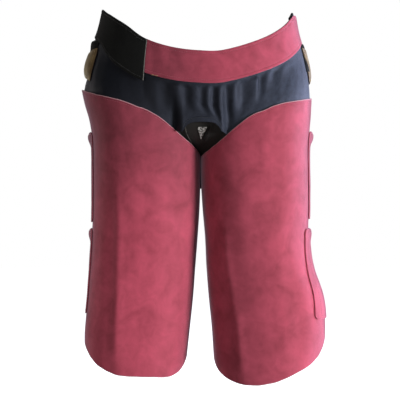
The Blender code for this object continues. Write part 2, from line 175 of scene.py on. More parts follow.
def leg_round(side, turn, level, out):
    """A point round a leg, out from the inner face of its panel."""
    fall = (LEG_TOP - level) / LEG_LENGTH
    outer = LEG_FORM.at(fall, side + "_outer") * LEG_REACH - HIDE_THICKNESS
    inner = LEG_FORM.at(fall, side + "_inner") * LEG_REACH + HIDE_THICKNESS
    front = LEG_FORM.at(fall, "front") * LEG_FRONT - HIDE_THICKNESS
    out += leg_ripple(side, turn, level)
    depth = (front if sin(radians(turn)) > 0 else LEG_BACK) + out
    reach = (outer - inner) / 2 + out
    across = (outer + inner) / 2 + reach * squared(cos(radians(turn)), LEG_SQUARENESS)
    forward = depth * squared(sin(radians(turn)), LEG_SQUARENESS)
    return Vector((across if side == "left" else -across, -forward, level))


def hide_fold(side, turn, down):
    total = 0.0
    for fold in HIDE_FOLDS:
        if fold.side == side:
            length = (fold.foot - fold.top) / 3
            along = ease(down, fold.top, fold.top + length)
            if fold.foot < 1:
                along *= 1 - ease(down, fold.foot - length, fold.foot)
            else:
                along *= 1 - FOLD_FLATTENING * ease(down, FOLD_FLAT_FROM, 1.0)
            total += fold.rise * along * exp(-((turn - fold.turn - fold.lean * down) / fold.spread) ** 2)
    return total


# Thickness of a sheet's outermost points and of the next ones in, as shares
EDGE_SOFTNESS = (0.50, 0.86)
SHEET_SHARP = 50.0  # degrees


def edged(start, stop, count, inset):
    """Even places from start to stop, with closer ones at the ends, where the edge rounds over."""
    inset = copysign(inset, stop - start)
    span = stop - start - 2 * inset
    return [start, start + inset / 3] + [start + inset + span * i / count for i in range(count + 1)] + [
        stop - inset / 3, stop]


def beside_seam(places, seam, spread):
    """The places, with closer ones across a line of stitches, so that the thread can press in."""
    near = [seam + spread * k for k in (-2.0, -1.2, -0.6, 0.0, 0.6, 1.2, 2.0)]
    return sorted([place for place in places if abs(place - seam) > 2.2 * spread] + near)


def make_piece(name, bm, finishes, sharp=None):
    """The object of a finished mesh. Faces that meet at more than sharp degrees keep their edge."""
    bmesh.ops.recalc_face_normals(bm, faces=bm.faces)
    mesh = bpy.data.meshes.new(name)
    bm.to_mesh(mesh)
    bm.free()
    for finish in finishes:
        mesh.materials.append(finish)
    mesh.shade_smooth()
    if sharp:
        mesh.set_sharp_from_angle(angle=radians(sharp))
    made = bpy.data.objects.new(name, mesh)
    bpy.context.collection.objects.link(made)
    return made


def lay_sheet(name, columns, rows, thickness, place, finishes, bare=0):
    """A closed sheet with softened edges. place(column, row, out) is a point, out from 0 to thickness.

    The finishes are those of the outer face, the inner face and the cut edge, and so many strips of
    the outer face are bare, as its edge is. The map named "flat" holds each point's distance along
    the sheet and down it, in metres.
    """
    def fullness(i, count):
        near = min(i, count - 1 - i)
        return EDGE_SOFTNESS[near] if near < len(EDGE_SOFTNESS) else 1.0

    bm = bmesh.new()
    flat = bm.loops.layers.uv.new("flat")
    faces = []
    for side in (-1, 1):
        grid = []
        for i, row in enumerate(rows):
            line = []
            for j, column in enumerate(columns):
                full = min(fullness(i, len(rows)), fullness(j, len(columns)))
                line.append(bm.verts.new(place(column, row, thickness / 2 * (1 + side * full))))
            grid.append(line)
        faces.append(grid)
    inner, outer = faces
    middle = outer[len(rows) // 2], [line[len(columns) // 2] for line in outer]
    across, down = ([sum((b.co - a.co).length for a, b in zip(line[:k], line[1:k + 1]))
                     for k in range(len(line))] for line in middle)
    spots = {}
    for grid in faces:
        for i, line in enumerate(grid):
            for j, vert in enumerate(line):
                spots[vert] = (across[j], -down[i])
    for index, grid in ((1, inner), (0, outer)):
        for i in range(len(rows) - 1):
            for j in range(len(columns) - 1):
                corners = grid[i][j], grid[i][j + 1], grid[i + 1][j + 1], grid[i + 1][j]
                to_rim = min(i, len(rows) - 2 - i, j, len(columns) - 2 - j)
                bm.faces.new(corners).material_index = 2 if index == 0 and to_rim < bare else index
    rims = [(inner[0], outer[0]), (inner[-1], outer[-1])]
    for end in (0, -1):
        rims.append(([line[end] for line in inner], [line[end] for line in outer]))
    for near, far in rims:
        for k in range(len(near) - 1):
            bm.faces.new((near[k], near[k + 1], far[k + 1], far[k])).material_index = 2
    for face in bm.faces:
        for loop in face.loops:
            loop[flat].uv = spots[loop.vert]
    return make_piece(name, bm, finishes, SHEET_SHARP)


def trail_on(place, spots, out):
    """Points of a line on a sheet, each with the direction straight out of the sheet."""
    trail = []
    for column, row in spots:
        point = place(column, row, out)
        trail.append((point, (place(column, row, out + 0.001) - point).normalized()))
    return trail


def ring_of(bm, middle, first, second, radius, count):
    """Points round a circle that lies along two directions at right angles."""
    turns = [2 * pi * k / count for k in range(count)]
    return [bm.verts.new(middle + (first * cos(turn) + second * sin(turn)) * radius) for turn in turns]


def skin(bm, rings):
    """Faces from each ring to the next, and one over each end."""
    for low, high in zip(rings, rings[1:]):
        for k in range(len(low)):
            after = (k + 1) % len(low)
            bm.faces.new((low[k], low[after], high[after], high[k]))
    bm.faces.new(rings[0])
    bm.faces.new(rings[-1])


def sew(name, trail, finish, stitch=0.0034, gap=0.0010, thread=0.0008):
    """A row of stitches along a trail, each one a short run of thread that dives in at both ends."""
    reached = [0.0]
    for (a, _), (b, _) in zip(trail, trail[1:]):
        reached.append(reached[-1] + (b - a).length)

    def spot(distance):
        k = min(bisect_right(reached, distance) - 1, len(trail) - 2)
        t = (distance - reached[k]) / (reached[k + 1] - reached[k])
        return trail[k][0].lerp(trail[k + 1][0], t), trail[k][1].lerp(trail[k + 1][1], t).normalized()

    bm = bmesh.new()
    for i in range(int(reached[-1] / (stitch + gap))):
        start = i * (stitch + gap) + gap / 2
        rings = []
        for t in (0.0, 0.15, 0.5, 0.85, 1.0):
            point, outward = spot(start + stitch * t)
            ahead = (spot(start + stitch)[0] - spot(start)[0]).normalized()
            aside = ahead.cross(outward)
            bulge = sin(pi * t)
            middle = point + outward * thread * (0.45 * bulge - 0.25)
            radius = thread / 2 * (0.45 + 0.55 * sqrt(bulge))
            rings.append(ring_of(bm, middle, aside, outward, radius, 6))
        skin(bm, rings)
    row = make_piece(name, bm, [finish])
    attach(row, "root")
    return row


def sew_edges(name, place, columns, seam, out, finish):
    """A row of stitches along both long edges of a band."""
    rows = []
    for edge, down in (("upper", seam), ("lower", 1 - seam)):
        spots = [(column, down) for column in columns[3:-3]]
        rows.append(sew(name + "_stitching_" + edge, trail_on(place, spots, out), finish))
    return rows


def linear(code):
    """An sRGB hex colour as the linear colour that a shader takes."""
    parts = [int(code[i:i + 2], 16) / 255 for i in (1, 3, 5)]
    return (*(p / 12.92 if p <= 0.04045 else ((p + 0.055) / 1.055) ** 2.4 for p in parts), 1.0)


def plug(node, inputs):
    """Gives a node's inputs, named or numbered, each a value, a hex colour or another node's output."""
    for key, value in inputs.items():
        if isinstance(value, bpy.types.NodeSocket):
            node.id_data.links.new(value, node.inputs[key])
        else:
            node.inputs[key].default_value = linear(value) if isinstance(value, str) else value


def new_finish(name, sockets):
    """A material, its node tree and its shader, with the sockets that are the same all over it."""
    made = bpy.data.materials.new(name)
    made.use_nodes = True
    shader = made.node_tree.nodes["Principled BSDF"]
    plug(shader, sockets)
    return made, made.node_tree, shader


def add_node(tree, kind, inputs, **settings):
    """A new node with its settings, its values and its links."""
    node = tree.nodes.new("ShaderNode" + kind)
    for name, value in settings.items():
        setattr(node, name, value)
    plug(node, inputs)
    return node


# Cowhide suede, dyed through and brushed: matt, with a pale bloom where the raised fibres catch the
# light, softly mottled where the nap lies in different directions
suede, tree, shader = new_finish("dyed cowhide suede", {
    "Roughness": 0.78,
    "IOR": 1.45,
    "Specular IOR Level": 0.45,
    "Sheen Weight": 1.0,
    "Sheen Roughness": 0.34,
    "Sheen Tint": "#fadcf2",
})
NAP_PATCH = 0.045
NAP_MARK = 0.016
NAP_STROKE = (0.014, 0.014, 0.045)
NAP_FIBRE = 0.0011  # real fibres are 0.1 mm, drawn coarser so that they show
spot = add_node(tree, "TexCoord", {}).outputs["Object"]
patches = add_node(tree, "TexNoise", {"Vector": spot, "Scale": 1 / NAP_PATCH, "Detail": 3.0,
                                      "Roughness": 0.5, "Distortion": 0.9})
marks = add_node(tree, "TexNoise", {"Vector": spot, "Scale": 1 / NAP_MARK, "Detail": 3.0,
                                    "Roughness": 0.55, "Distortion": 0.7})
brushed = add_node(tree, "Mapping", {"Vector": spot, "Scale": tuple(1 / size for size in NAP_STROKE)})
strokes = add_node(tree, "TexNoise", {"Vector": brushed.outputs[0], "Scale": 1.0, "Detail": 2.0})
fibres = add_node(tree, "TexNoise", {"Vector": spot, "Scale": 1 / NAP_FIBRE, "Detail": 3.0,
                                     "Roughness": 0.65})
tone = 0.0
for pattern, weight in ((patches, 0.56), (marks, 0.26), (strokes, 0.14), (fibres, 0.04)):
    tone = add_node(tree, "Math", {0: pattern.outputs[0], 1: weight, 2: tone},
                    operation="MULTIPLY_ADD").outputs[0]
mottle = add_node(tree, "MapRange", {"Value": tone, "From Min": 0.31, "From Max": 0.69})
dye = add_node(tree, "Mix", {0: mottle.outputs[0], 6: "#842d3c", 7: "#ae4458"}, data_type="RGBA")

# Painted light and shade: each is how much paler the dye colour is made, as a share. The right leg is
# painted darker at its top and paler at its foot, most at the outer side. The left leg is painted darker
# in the middle and paler outside.
TOP_PAINTED_SHADE = -0.34
RIGHT_PAINTED_LIGHT = (0.02, 0.24)
LEFT_PAINTED_SHADE_AND_LIGHT = (-0.09, 0.15)
PAINTED_LIGHT_LEVEL_TOP = -0.16
PAINTED_LIGHT_LEVEL_FOOT = -0.44
# Masks of the painted light and shade, by place across and up the legs
across, _, up = add_node(tree, "SeparateXYZ", {0: spot}).outputs
painted_lighter = add_node(tree, "MapRange", {"Value": across, "From Min": -0.04, "From Max": -0.13,
                                   "To Min": RIGHT_PAINTED_LIGHT[0], "To Max": RIGHT_PAINTED_LIGHT[1]})
painted_shade_to_light = add_node(tree, "MapRange", {"Value": up, "From Min": PAINTED_LIGHT_LEVEL_TOP, "From Max": PAINTED_LIGHT_LEVEL_FOOT,
                                     "To Min": TOP_PAINTED_SHADE, "To Max": painted_lighter.outputs[0]},
                  interpolation_type="SMOOTHSTEP")
right_leg = add_node(tree, "MapRange", {"Value": across, "From Min": 0.03, "From Max": -0.05},
                     interpolation_type="SMOOTHSTEP")
inner = add_node(tree, "MapRange", {"Value": across, "From Min": 0.05, "From Max": 0.09,
                                    "To Max": LEFT_PAINTED_SHADE_AND_LIGHT[0]})
outer = add_node(tree, "MapRange", {"Value": across, "From Min": 0.09, "From Max": 0.20,
                                    "To Min": inner.outputs[0], "To Max": LEFT_PAINTED_SHADE_AND_LIGHT[1]})
lower = add_node(tree, "MapRange", {"Value": up, "From Min": -0.28, "From Max": -0.42})
# The painted light and shade scale the dye colour
wear_and_painted_light = 1.0
for amount, where in ((outer, lower), (painted_shade_to_light, right_leg)):
    wear_and_painted_light = add_node(tree, "Math", {0: amount.outputs[0], 1: where.outputs[0], 2: wear_and_painted_light},
                    operation="MULTIPLY_ADD").outputs[0]
dye_with_painted_light = add_node(tree, "VectorMath", {0: dye.outputs[2], "Scale": wear_and_painted_light}, operation="SCALE")
nap = add_node(tree, "Bump", {"Height": fibres.outputs[0], "Strength": 0.35, "Distance": 0.0006})
lie = add_node(tree, "Bump", {"Height": marks.outputs[0], "Strength": 0.20, "Distance": 0.0012,
                              "Normal": nap.outputs[0]})
plug(shader, {"Base Color": dye_with_painted_light.outputs[0], "Normal": lie.outputs[0]})

# Flesh side of the split, left unbrushed: dusty and a little browner, with long loose fibres
FLESH_FIBRE = 0.004
flesh_side, tree, shader = new_finish("flesh side of the split", {
    "Roughness": 0.95,
    "IOR": 1.45,
    "Specular IOR Level": 0.2,
    "Sheen Weight": 0.25,
    "Sheen Roughness": 0.5,
})
spot = add_node(tree, "TexCoord", {}).outputs["Object"]
loose = add_node(tree, "TexNoise", {"Vector": spot, "Scale": 1 / FLESH_FIBRE, "Detail": 5.0,
                                    "Roughness": 0.7})
dust = add_node(tree, "MapRange", {"Value": loose.outputs[0], "From Min": 0.3, "From Max": 0.7})
shade = add_node(tree, "Mix", {0: dust.outputs[0], 6: "#7d3b42", 7: "#a35d62"}, data_type="RGBA")
rough = add_node(tree, "Bump", {"Height": loose.outputs[0], "Strength": 0.6, "Distance": 0.0008})
plug(shader, {"Base Color": shade.outputs[2], "Normal": rough.outputs[0]})

# Knife-cut edge of the hide: the dye stops short of the core, which stays a pale greyish pink
EDGE_GRAIN = 0.0018
cut_edge, tree, shader = new_finish("knife-cut hide edge", {
    "Roughness": 0.85,
    "IOR": 1.45,
    "Specular IOR Level": 0.3,
})
spot = add_node(tree, "TexCoord", {}).outputs["Object"]
grain = add_node(tree, "TexNoise", {"Vector": spot, "Scale": 1 / EDGE_GRAIN, "Detail": 3.0,
                                    "Roughness": 0.6})
shade = add_node(tree, "Mix", {0: grain.outputs[0], 6: "#8a5c64", 7: "#cfa8ac"}, data_type="RGBA")
plug(shader, {"Base Color": shade.outputs[2]})

WAVE_LENGTH = 0.314  # of a wave texture whose scale is 1
THREAD_TWIST = 0.0006


def spun_thread(name, roughness, sheen, dark, light):
    """Sewing thread: two tones of one dye where the twist turns towards and away from the light."""
    made, tree, shader = new_finish(name, {"Roughness": roughness, "IOR": 1.5, "Sheen Weight": sheen})
    spot = add_node(tree, "TexCoord", {}).outputs["Object"]
    twist = add_node(tree, "TexWave", {"Vector": spot, "Distortion": 1.5,
                                       "Scale": WAVE_LENGTH / THREAD_TWIST},
                     bands_direction="DIAGONAL")
    shade = add_node(tree, "Mix", {0: twist.outputs[0], 6: dark, 7: light}, data_type="RGBA")
    plug(shader, {"Base Color": shade.outputs[2]})
    return made


# Bonded polyester thread, dyed near the hide: a tight twist with a slight gloss
red_thread = spun_thread("bonded red thread", 0.5, 0.2, "#6e2430", "#a8485a")


def panel_point(side, turn, down, out):
    spot = Vector((turn / WANDER_TURN, down / WANDER_FALL, 7.0 if side == "left" else 3.0))
    wander = EDGE_WANDER * noise.noise(spot)
    top = PANEL_EDGES.at(turn, side + "_top") + wander
    fall = mix(top, PANEL_EDGES.at(turn, side + "_foot") + wander, down)
    pull = THREAD_PULL * exp(-((down - PANEL_SEAM) / PANEL_SEAM_SPREAD) ** 2)
    return leg_round(side, turn, LEG_TOP - LEG_LENGTH * fall, out + hide_fold(side, turn, down) - pull)


for side in ("right", "left"):
    def place(turn, down, out):
        return panel_point(side, turn, down, out)

    turns = edged(PANEL_EDGES.rows[0][0], PANEL_EDGES.rows[-1][0], 144, 0.6)
    falls = beside_seam(edged(0.0, 1.0, 84, 0.0028), PANEL_SEAM, PANEL_SEAM_SPREAD)
    panel = lay_sheet("suede_panel_" + side, turns, falls, HIDE_THICKNESS, place,
                      [suede, flesh_side, cut_edge], bare=2)
    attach(panel, "root")
    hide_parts("leg_panel_" + side)
    trail = trail_on(place, [(turn, PANEL_SEAM) for turn in turns[3:-3]], HIDE_THICKNESS)
    row = sew("panel_stitching_" + side, trail, red_thread)


# Leg straps. Two bands of the same hide to each leg, sewn inside the inner edge of its panel, go round
# the back and close on the outer side with hook and loop tape under the lap. The free corner of each
# one has come away from the leg and stands out as a small ear.
STRAP_THICKNESS = 0.002
STRAP_INNER_END = -190.0
STRAP_TAPER = 0.36
STRAP_DIVE_FROM = -30.0
STRAP_DIVE_TO = -150.0
STRAP_CORNER = 7.0
STRAP_CORNER_FALL = 0.06
STRAP_SEAM = 0.035
STRAP_END_SEAM = 0.72
EAR_TURN = -3.0
EAR_SPREAD = 9.0
EAR_FALL = 0.19
EAR_START = 0.16
LAP_REST = 0.0001

# The last four values are the ear, the slack, and the length and area of the flat cut
Strap = namedtuple("Strap", "place side top foot lap_top lap_foot ear slack long area")
STRAPS = [
    Strap("thigh", "right", 0.146, 0.447, 19, 17, 0.0075, 0.0009, 0.42, 0.062),
    Strap("thigh", "left", 0.143, 0.437, 17, 16, 0.0075, 0.0009, 0.42, 0.060),
    Strap("calf", "right", 0.468, 0.753, 17, 17, 0.0065, 0.0002, 0.41, 0.057),
    Strap("calf", "left", 0.468, 0.766, 30, 44, 0.0050, 0.0009, 0.45, 0.067),
]

for strap in STRAPS:
    def place(column, down, out):
        """Column is 1 at the free end and 0 at the side of the leg, then the turn round the back."""
        lap = mix(strap.lap_top, strap.lap_foot, down)
        corners = (1 - share(down, 0.0, STRAP_CORNER_FALL), share(down, 1 - STRAP_CORNER_FALL, 1.0))
        rounded = sum(STRAP_CORNER * (1 - sqrt(1 - near**2)) for near in corners)
        turn = column if column <= 0 else (lap - rounded) * column
        behind = ease(-turn, -STRAP_DIVE_FROM, -STRAP_DIVE_TO)
        top = mix(strap.top, strap.foot, STRAP_TAPER * behind)
        level = LEG_TOP - LEG_LENGTH * mix(top, strap.foot, down)
        lift = sin(pi * mix(EAR_START, 1.0, share(down, 0.0, EAR_FALL) ** 0.75)) ** 1.5
        ear = strap.ear * exp(-((turn - EAR_TURN) / EAR_SPREAD) ** 2) * lift
        slack = mix(strap.slack, LAP_REST, ease(turn, 0.4 * lap, 0.9 * lap))
        outside = HIDE_THICKNESS + HIDE_GAP + slack
        inside = -STRAP_THICKNESS - HIDE_GAP - slack
        return leg_round(strap.side, turn, level, mix(outside, inside, behind) + ear + out)

    name = strap.place + "_strap_" + strap.side
    lapped = edged(1.0, 0.0, max(10, round(strap.lap_foot / 1.5)), 0.9 / strap.lap_foot)[:-2]
    wrapped = edged(0.0, STRAP_INNER_END, 120, 0.6)[3:]
    falls = edged(0.0, 1.0, 60, 0.007)
    band = lay_sheet("suede_" + name, lapped + wrapped, falls, STRAP_THICKNESS, place,
                     [suede, flesh_side, suede])
    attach(band, "root")
    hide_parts(name)
    edge = [-2.0 * k for k in range(20, 0, -1)] + [0.1 * k for k in range(1, 8)]
    loop = [(column, STRAP_SEAM) for column in edge]
    loop += [(STRAP_END_SEAM, mix(STRAP_SEAM, 1 - STRAP_SEAM, k / 24)) for k in range(1, 24)]
    loop += [(column, 1 - STRAP_SEAM) for column in reversed(edge)]
    row = sew(name + "_stitching", trail_on(place, loop, STRAP_THICKNESS), red_thread)


# Waistband. A curved band of the same suede on a stiff webbing backing, cut in one piece across the
# front from hip to hip. A row of stitches runs along both long edges and holds the yoke below it.
BAND_THICKNESS = 0.003
CLOTH_THICKNESS = 0.0015
BAND_HEIGHT = 0.062
BAND_RIGHT_END = -60.0
CLOSURE_END = -25.0
BAND_LEFT_END = 98.0
BAND_TUCK = 0.004
BAND_END_DROP = 0.009
BAND_DROP_FROM = 70.0
BAND_DROP_TO = 86.0
BAND_SEAM = 0.10
BAND_SEAM_SPREAD = 0.017
BAND_WAVE = 0.0007
CREASE_FADE = 0.6
WAIST_WIDTH = 0.372
WAIST_DEPTH = 0.232
WAIST_LEAN = 0.0011
HIP_WIDTH = 0.458
HIP_DEPTH = 0.270
HIP_LEVEL = -0.120
HIP_LEAN = 0.008
HIP_SQUARENESS = 2.2
BELT_TOP = 0.038
BELT_DIP_HEIGHT = 0.095

# Growth of the hips from the waist down, both as shares
HIP_FORM = Pattern("fall growth", [
    (0.00, 0.00),
    (0.27, 0.21),
    (0.63, 0.64),
    (1.00, 1.00),
])

# Top edge of the band and the belt: angle from the front, drop as a share of BELT_DIP_HEIGHT
BELT_LINE = Pattern("angle drop", [
    (-180, 0.76),
    (-150, 0.53),
    (-128, 0.28),
    (-104, 0.06),
    (-84, 0.00),
    (-63, 0.16),
    (-49, 0.33),
    (-40, 0.47),
    (-28, 0.71),
    (-19, 0.84),
    (-8, 0.95),
    (2, 1.00),
    (9, 1.00),
    (17, 0.93),
    (29, 0.79),
    (39, 0.66),
    (52, 0.47),
    (67, 0.24),
    (82, 0.07),
    (98, 0.15),
    (112, 0.32),
    (130, 0.43),
    (152, 0.60),
    (180, 0.76),
])

# Shallow creases where the band bends: angle, lean in degrees from top to foot, spread and depth
Crease = namedtuple("Crease", "angle lean spread rise")
BAND_CREASES = [
    Crease(-22.0, 3.0, 2.0, -0.0007),
    Crease(-17.0, 5.0, 2.4, 0.0008),
    Crease(-12.0, 8.0, 2.4, -0.0008),
    Crease(8.0, -3.0, 3.5, -0.0005),
    Crease(34.0, 4.0, 4.0, -0.0006),
]


def hip_round(angle, level, out):
    """A point round the hips: angle 0 is the front and 90 the wearer's left side."""
    growth = HIP_FORM.at(share(BELT_TOP - level, 0.0, BELT_TOP - HIP_LEVEL), "growth")
    width = mix(WAIST_WIDTH, HIP_WIDTH, growth) / 2 + out
    depth = mix(WAIST_DEPTH, HIP_DEPTH, growth) / 2 + out
    across = width * squared(sin(radians(angle)), HIP_SQUARENESS)
    forward = depth * squared(cos(radians(angle)), HIP_SQUARENESS)
    return Vector((across - mix(WAIST_LEAN, HIP_LEAN, growth), -forward, level))


def belt_top(angle):
    wrapped = (angle + 180.0) % 360.0 - 180.0
    return BELT_TOP - BELT_DIP_HEIGHT * BELT_LINE.at(wrapped, "drop")


def band_point(angle, down, out):
    crease = sum(c.rise * exp(-((angle - c.angle - c.lean * down) / c.spread) ** 2) for c in BAND_CREASES)
    crease += BAND_WAVE * noise.noise(Vector((angle / 9.0, 1.5 * down, 5.0)))
    crease *= 1 - CREASE_FADE * abs(2 * down - 1) ** 4
    pull = sum(exp(-((down - seam) / BAND_SEAM_SPREAD) ** 2) for seam in (BAND_SEAM, 1 - BAND_SEAM))
    base = CLOTH_THICKNESS + HIDE_GAP
    if out > BAND_THICKNESS / 2:
        out += crease - THREAD_PULL * pull
    tucked = BAND_TUCK * ease(-angle, -CLOSURE_END, 5.0 - CLOSURE_END)
    tucked += BAND_END_DROP * ease(angle, BAND_DROP_FROM, BAND_DROP_TO)
    return hip_round(angle, belt_top(angle) - mix(tucked, BAND_HEIGHT, down), base + out)


# Webbing backing of the band: black, close woven, with fine ribs across it
BACKING_RIB = 0.0016
band_backing, tree, shader = new_finish("black webbing backing", {
    "Roughness": 0.75,
    "IOR": 1.53,
    "Specular IOR Level": 0.35,
})
flat = add_node(tree, "UVMap", {}, uv_map="flat").outputs[0]
ribs = add_node(tree, "TexWave", {"Vector": flat, "Scale": WAVE_LENGTH / BACKING_RIB, "Distortion": 0.6})
shade = add_node(tree, "Mix", {0: ribs.outputs[0], 6: "#141414", 7: "#2a2a2b"}, data_type="RGBA")
relief = add_node(tree, "Bump", {"Height": ribs.outputs[0], "Strength": 0.6, "Distance": 0.0005})
plug(shader, {"Base Color": shade.outputs[2], "Normal": relief.outputs[0]})

angles = edged(BAND_RIGHT_END, BAND_LEFT_END, 210, 0.4)
falls = edged(0.0, 1.0, 26, 0.016)
falls = beside_seam(beside_seam(falls, BAND_SEAM, BAND_SEAM_SPREAD), 1 - BAND_SEAM, BAND_SEAM_SPREAD)
waistband = lay_sheet("suede_waistband", angles, falls, BAND_THICKNESS, band_point,
                      [suede, band_backing, cut_edge])
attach(waistband, "root")
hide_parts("waistband")
rows = sew_edges("waistband", band_point, angles, BAND_SEAM, BAND_THICKNESS, red_thread)


# Belt. A wide black strap of brushed loop tape goes from the closure at the wearer's right front,
# outside the waistband, round the back to inside the band's left end. The closure end is cut
# square and shows a thin light line of the tape's core.
BELT_THICKNESS = 0.003
BELT_HEIGHT = 0.056
BELT_LEFT_END = 68.0
BELT_SEAM = 0.07
SEALED_END = 0.0016
CLOSURE_HEIGHT = 0.077
CLOSURE_LEAN = 2.0
CLOSURE_TAPER_FROM = 38.0
CLOSURE_TAPER_TO = 66.0
YOKE_END = 105.0
SELVEDGE_RISE = 0.0004


def belt_point(angle, down, out):
    height = mix(CLOSURE_HEIGHT, BELT_HEIGHT, ease(-angle, CLOSURE_TAPER_FROM, CLOSURE_TAPER_TO))
    inward = ease(-angle, YOKE_END, 360.0 - YOKE_END)
    angle += CLOSURE_LEAN * down * ease(angle, -CLOSURE_TAPER_FROM, CLOSURE_END)
    outside = CLOTH_THICKNESS + BAND_THICKNESS + 2 * HIDE_GAP
    layer = mix(outside, -BELT_THICKNESS - HIDE_GAP, inward)
    if out > BELT_THICKNESS / 2:
        off_middle = abs(2 * down - 1)
        layer += SELVEDGE_RISE * (ease(off_middle, 0.84, 0.88) - ease(off_middle, 0.96, 1.0))
    return hip_round(angle, belt_top(angle) - height * down, layer + out)


# Black brushed loop tape: it swallows light, with a short grey fuzz at grazing angles
TAPE_PILE = 0.0012  # real loops are 0.5 mm across, drawn coarser so that they show
TAPE_RIB = 0.0024
TAPE_WEAR = 0.035
loop_tape, tree, shader = new_finish("black brushed loop tape", {
    "Roughness": 0.88,
    "IOR": 1.53,
    "Specular IOR Level": 0.20,
    "Sheen Weight": 0.04,
    "Sheen Roughness": 0.35,
})
flat = add_node(tree, "UVMap", {}, uv_map="flat").outputs[0]
pile = add_node(tree, "TexNoise", {"Vector": flat, "Scale": 1 / TAPE_PILE, "Detail": 4.0, "Roughness": 0.7})
ribs = add_node(tree, "TexWave", {"Vector": flat, "Scale": WAVE_LENGTH / TAPE_RIB, "Distortion": 1.2},
                bands_direction="Y")
worn = add_node(tree, "TexNoise", {"Vector": flat, "Scale": 1 / TAPE_WEAR, "Detail": 3.0})
fuzz = add_node(tree, "Math", {0: pile.outputs[0], 1: worn.outputs[0]}, operation="MULTIPLY")
fuzz = add_node(tree, "MapRange", {"Value": fuzz.outputs[0], "From Min": 0.15, "From Max": 0.45})
shade = add_node(tree, "Mix", {0: fuzz.outputs[0], 6: "#080908", 7: "#141614"}, data_type="RGBA")
height = add_node(tree, "Math", {0: ribs.outputs[0], 1: 0.4, 2: pile.outputs[0]}, operation="MULTIPLY_ADD")
relief = add_node(tree, "Bump", {"Height": height.outputs[0], "Strength": 0.6, "Distance": 0.0005})
plug(shader, {"Base Color": shade.outputs[2], "Normal": relief.outputs[0]})

# Cut end of the tape: heat-sealed nylon core, light grey and slightly glossy
CORE_BEAD = 0.002
tape_core, tree, shader = new_finish("sealed tape core", {
    "Roughness": 0.55,
    "IOR": 1.53,
})
spot = add_node(tree, "TexCoord", {}).outputs["Object"]
beads = add_node(tree, "TexNoise", {"Vector": spot, "Scale": 1 / CORE_BEAD, "Detail": 2.0})
shade = add_node(tree, "Mix", {0: beads.outputs[0], 6: "#2f2e2a", 7: "#5c5b55"}, data_type="RGBA")
plug(shader, {"Base Color": shade.outputs[2]})

# Spun black thread: matt, a shade lighter than the tape it holds
black_thread = spun_thread("spun black thread", 0.7, 0.2, "#0c0c0d", "#1c1d1e")

angles = edged(CLOSURE_END, BELT_LEFT_END - 360.0, 300, 0.45)
falls = edged(0.0, 1.0, 30, 0.02)
belt = lay_sheet("loop_tape_belt", angles, falls, BELT_THICKNESS, belt_point, [loop_tape] * 3)
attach(belt, "root")
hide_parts("back_belt")
rows = sew_edges("belt", belt_point, angles, BELT_SEAM, BELT_THICKNESS, black_thread)


def core_point(across, down, out):
    """The sealed end wraps over the closure's cut edge."""
    return belt_point(CLOSURE_END + mix(0.30, -0.20, across), down, BELT_THICKNESS * 0.55 + out)


end_strip = lay_sheet("closure_sealed_end", edged(0.0, 1.0, 4, 0.1), falls, SEALED_END, core_point,
                      [tape_core] * 3)
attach(end_strip, "root")


# Yoke. One piece of black cotton and nylon cloth, gathered under the waistband between the hips, so
# that it hangs in soft upright pleats. It is sewn inside the top edge of both panels, and between
# the legs it ends in a free hem, turned up and stitched.
YOKE_TUCK = 0.012
YOKE_SHOW = 0.002
PANEL_TUCK = 0.012
LAP_SLACK = 0.0009
HEM_RIGHT = -5.0
HEM_LEFT = 10.5
HEM_LEVEL = -0.192
HEM_DEPTH = 0.125
HEM_CURL = 0.018
HEM_TURN = 4.0
HEM_CLEAR = 0.002
HEM_ROLL = 0.0012
HEM_ROLL_FROM = 0.88
HEM_ROLL_TO = 0.90
HEM_PRESS = 0.0008
HEM_PRESS_AT = 0.885
HEM_PRESS_SPREAD = 0.012
HEM_MIDDLE = 3.5
HEM_SPREAD = 5.0
HEM_FOLD = 12.2
HEM_FOLD_RISE = 0.0022
HEM_STITCHES = 0.915
HIP_SEAM = 0.90
HIP_SEAM_RISE = 0.0006
HIP_SEAM_FROM = 48.0
HIP_SEAM_TO = 56.0
CLOTH_WAVE = 0.0007
GATHER_BEND = 1.8
PLEATS_FROM = -25.0
PLEATS_TO = 54.0
POCKET_DENT = {"right": 0.005, "left": 0.0005}
POCKET_DENT_FROM = 60.0
POCKET_DENT_TO = 76.0

# Where each upright thread of the yoke meets the legs: angle at the waist, turn on each leg
YOKE_SEAM = Pattern("angle right left", [
    (5, 126, 136),
    (10, 118, 128),
    (20, 98, 104),
    (30, 87, 90),
    (45, 67, 72),
    (60, 44, 50),
    (75, 20, 28),
    (90, 0, 4),
    (105, -18, -16),
])

# Crests and hollows of the gathers across the front: rise in metres, and how far down each one runs
GATHERS = Pattern("angle rise reach", [
    (-24.0, 0.0000, 0.80),
    (-18.0, 0.0017, 0.80),
    (-12.7, -0.0017, 0.72),
    (-7.5, 0.0032, 0.74),
    (-3.6, -0.0038, 0.82),
    (-0.4, 0.0017, 0.95),
    (2.2, -0.0014, 0.95),
    (4.5, 0.0035, 1.00),
    (7.1, -0.0043, 1.00),
    (9.5, 0.0035, 0.95),
    (12.8, -0.0038, 0.90),
    (16.2, 0.0041, 0.85),
    (20.8, -0.0054, 0.80),
    (27.6, 0.0038, 0.75),
    (31.0, -0.0044, 0.65),
    (34.6, 0.0024, 0.50),
    (40.4, -0.0040, 0.48),
    (46.2, 0.0017, 0.40),
    (54.0, 0.0000, 0.40),
])


def near_hem(angle, start, stop):
    """0 over the hem, growing to 1 some degrees past its ends."""
    return ease(max(HEM_RIGHT - angle, angle - HEM_LEFT), stop, start)


def hem_point(angle, raised, out):
    """A point on the free hem between the legs, or straight above it."""
    middle = (HEM_LEFT + HEM_RIGHT) / 2
    reach = (HEM_LEFT - HEM_RIGHT) / 2
    curl = HEM_CURL * min(1.0, abs((angle - middle) / reach)) ** 4
    across = hip_round(angle, HIP_LEVEL, 0.0).x
    return Vector((across, -HEM_DEPTH - out, HEM_LEVEL - curl + raised))


